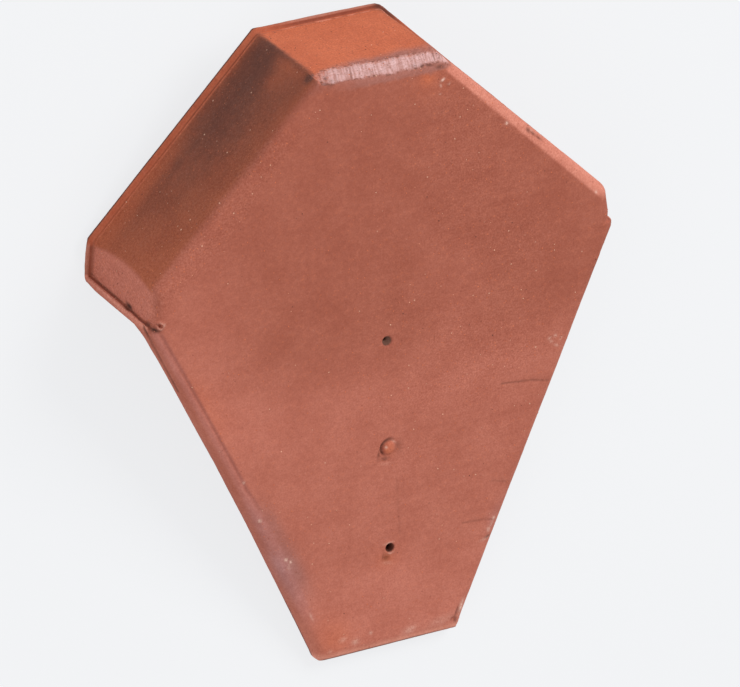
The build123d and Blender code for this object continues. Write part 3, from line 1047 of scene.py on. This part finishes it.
RAKE = {"Rotation": (0, -RAKE_SLANT, 0), "Scale": (1, 12, 12)}
raked = add("Mapping", {"Vector": place, **RAKE}, vector_type="TEXTURE").outputs[0]
streak = noise(raked, 1 / 1.3, detail=1)
scratch = noise(raked, 1 / 3.4, detail=1)
spotted = noise(place, 1 / 1.9, roughness=0.6)
rubbed = lay(
    WORN_MID,
    (WORN_PALE, ramp(streak, 0.4, 0.6)),
    (WORN_DARK, ramp(scratch, 0.39, 0.33, 0, 0.6)),
    (WORN_DARK, ramp(spotted, 0.38, 0.31, 0, 0.5)),
)
rubbing = kept("worn")
border = times(line(rubbing, 0.35, 0.35), ramp(spotted, 0.46, 0.6, 0, 0.9))
broken = maths("ADD", rubbing, ramp(spotted, 0.3, 0.7, 0.22, -0.22))
shade = lay(shade, (WORN_DARK, border), (rubbed, ramp(broken, 0.1, 0.95)))

# %% Lay on the dirt, the painted shade and the specks
# Dirt and painted shade share one dark colour; the mud in the upper hole has its own
dirt_and_shade_colour = lay(GRIME_AND_SHADE_BROWN, (HOLE_DIRT, "hole_dirt"))
shade = lay(
    shade,
    (DUST_AND_HIGHLIGHT_PALE, times(kept("dust_and_highlights"), ramp(fine, 0.25, 0.55))),
    (dirt_and_shade_colour, "grime_and_shade"),
    # painted shadow on the back of the left lip and on the tail's lower edges
    (GRIME_AND_SHADE_BROWN, "edge_shadow", 0.85),
)

# Specks as spacing, share, radius, colour and strength
SPECKS = (
    (2.4, 0.35, 0.55, ORANGE_GROG, 0.3), (6, 0.22, 0.5, PALE_GROG, 0.55), (3, 0.35, 0.55, DARK_GROG, 0.22)
)
grit = ramp(kept("grit"), 0, 1, 0.45, 1.2)
for spacing, share, radius, speck_colour, strength in SPECKS:
    moved = add("Mapping", {"Vector": place, "Location": (spacing * 31, 7, 3)}).outputs[0]
    sizes = {"Place": moved, "Spacing": spacing, "Share": share, "Radius": radius}
    mask = add("Group", sizes, node_tree=speck_group).outputs["Mask"]
    amount = maths("MULTIPLY", times(mask, grit), strength, clamp=True)
    shade = lay(shade, (speck_colour, amount))

wiped = add("Mapping", {"Vector": place, "Scale": (0.14, 1, 1)}).outputs[0]
wipes = ramp(noise(wiped, 1 / 6), 0.35, 0.65, -0.02, 0.017)
on_face = times(ramp(plan_z, -5, -1), ramp(plan_x, -60, 40, 0.3, 1))
wipes = maths("ADD", 1, times(wipes, on_face))
grain_reach = ramp(kept("grit"), 0.2, 0.9, 0.085, 0.19)
grain = maths("ADD", 1, times(ramp(fine, 0.25, 0.75, -1, 1), grain_reach))
lumpy, cloudy = (ramp(value, 0.3, 0.7, 0.95, 1.05) for value in (middle, cloud))
light_and_dark = times(grain, lumpy, cloudy, wipes)

# Fine dust greys the clay: green and blue vary more than red does
green, blue = (maths("POWER", light_and_dark, power) for power in (1.6, 1.87))
tones = add("CombineXYZ", {0: light_and_dark, 1: green, 2: blue}).outputs[0]
shade = add("VectorMath", {0: shade, 1: tones}, operation="MULTIPLY").outputs[0]

bump = add("Bump", {"Height": skin["Height"], "Distance": 0.0002, "Strength": 0.55}).outputs[0]
rough = ramp(middle, 0.2, 0.8, 0.72, 0.9)
finish = {"Base Color": shade, "Roughness": rough, "Normal": bump, "Specular IOR Level": 0.25}
add("OutputMaterial", {"Surface": add("BsdfPrincipled", finish).outputs[0]})
clay.materials.clear()
clay.materials.append(terracotta)
print("terracotta has", len(tree.nodes), "nodes")

# %% [markdown]
# ## Loose grains of ground brick
#
# The clay is tempered with grog, which is old brick ground to sand, and single
# grains stand out of its skin. They repeat by the hundred, which is work for
# Geometry Nodes: points are thrown on the tile, more of them where the grit is,
# and each gets a flattened ball with its own size and turn. A fixed seed gives
# the same grains in each run.

# %% Scatter the grains
GRAIN_SEED = 7

grain_material, tree = new_material("ground brick")
grain_skin = add("Group", {"Place": plan_place()}, node_tree=mottle_group).outputs
kind = kept("kind")
grain_shade = lay(
    DARK_GROG,
    (BRICK_RED, ramp(kind, 0.02, 0.08)),
    (ORANGE_GROG, ramp(kind, 0.3, 0.5, 0, 0.7)),
    (PALE_GROG, ramp(kind, 0.88, 0.95, 0, 0.9)),
    (SOOT_PURPLE, "soot", 0.85),
)
mottled = {0: grain_shade, "Scale": ramp(grain_skin["Fine"], 0.3, 0.7, 0.85, 1.15)}
grain_shade = add("VectorMath", mottled, operation="SCALE").outputs[0]
finish = {"Base Color": grain_shade, "Roughness": 0.85}
add("OutputMaterial", {"Surface": add("BsdfPrincipled", finish).outputs[0]})

GRAIN_INPUTS = {
    "Grains per square metre": ("NodeSocketFloat", 42000.0),
    "Smallest radius": ("NodeSocketFloat", 0.00022),
    "Largest radius": ("NodeSocketFloat", 0.00052),
    "Seed": ("NodeSocketInt", GRAIN_SEED),
    "Material": ("NodeSocketMaterial", grain_material),
}
tree = scatter = bpy.data.node_groups.new("scattered grog", "GeometryNodeTree")
new_socket = scatter.interface.new_socket
new_socket("Geometry", in_out="INPUT", socket_type="NodeSocketGeometry")
for label, (kind_of_socket, _) in GRAIN_INPUTS.items():
    new_socket(label, in_out="INPUT", socket_type=kind_of_socket)
new_socket("Geometry", in_out="OUTPUT", socket_type="NodeSocketGeometry")
given = scatter.nodes.new("NodeGroupInput").outputs

where = add("GeometryNodeInputNamedAttribute", {"Name": "grit"}, data_type="FLOAT")
how_many = times(where.outputs[0], given["Grains per square metre"])
throw = {"Mesh": given["Geometry"], "Density": how_many, "Seed": given["Seed"]}
thrown = add("GeometryNodeDistributePointsOnFaces", throw).outputs
ball = add("GeometryNodeMeshIcoSphere", {"Radius": 1, "Subdivisions": 1})
radii = {2: given["Smallest radius"], 3: given["Largest radius"], "Seed": given["Seed"]}
radius = add("FunctionNodeRandomValue", radii, data_type="FLOAT").outputs[1]
flattened = add("VectorMath", {0: (1, 0.8, 0.5), "Scale": radius}, operation="SCALE")
turns = {0: (0, 0, 0), 1: (0.5, 0.5, 2 * pi), "Seed": given["Seed"]}
turned = add("FunctionNodeRandomValue", turns, data_type="FLOAT_VECTOR")
tilt = {"Rotation": thrown["Rotation"], "Rotate By": turned.outputs[0]}
tilted = add("FunctionNodeRotateRotation", tilt, rotation_space="LOCAL")
placed = add(
    "GeometryNodeInstanceOnPoints",
    {"Points": thrown["Points"], "Instance": ball.outputs["Mesh"],
     "Rotation": tilted.outputs[0], "Scale": flattened.outputs[0]},
)
chance = add("FunctionNodeRandomValue", {"Seed": GRAIN_SEED + 1}, data_type="FLOAT")
mark = {"Geometry": placed.outputs[0], "Name": "kind", "Value": chance.outputs[1]}
marked = add("GeometryNodeStoreNamedAttribute", mark, data_type="FLOAT", domain="INSTANCE")
real = add("GeometryNodeRealizeInstances", {"Geometry": marked.outputs[0]}).outputs[0]
finished = add("GeometryNodeSetMaterial", {"Geometry": real, "Material": given["Material"]})
fill(scatter.nodes.new("NodeGroupOutput").inputs[0], finished.outputs[0])

holder = new_object("grain holder", clay.copy())
modifier = holder.modifiers.new("scatter", "NODES")
modifier.node_group = scatter
for item in scatter.interface.items_tree:
    if item.name in GRAIN_INPUTS:
        modifier[item.identifier] = GRAIN_INPUTS[item.name][1]
evaluated = holder.evaluated_get(bpy.context.evaluated_depsgraph_get())
grain_mesh = bpy.data.meshes.new_from_object(evaluated)
holder.modifiers.clear()
bpy.data.objects.remove(holder)
write(grain_mesh, held_to_box(read(grain_mesh)[0]))
grain_mesh.name = "grog_grains"
grains = new_object("grog_grains", grain_mesh)
print("grains:", len(grain_mesh.polygons) // 20, "with", len(grain_mesh.polygons), "triangles")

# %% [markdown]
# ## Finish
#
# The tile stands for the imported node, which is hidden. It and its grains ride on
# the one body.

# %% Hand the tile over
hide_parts("tile")
for piece in (tile, grains):
    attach(piece, "root")
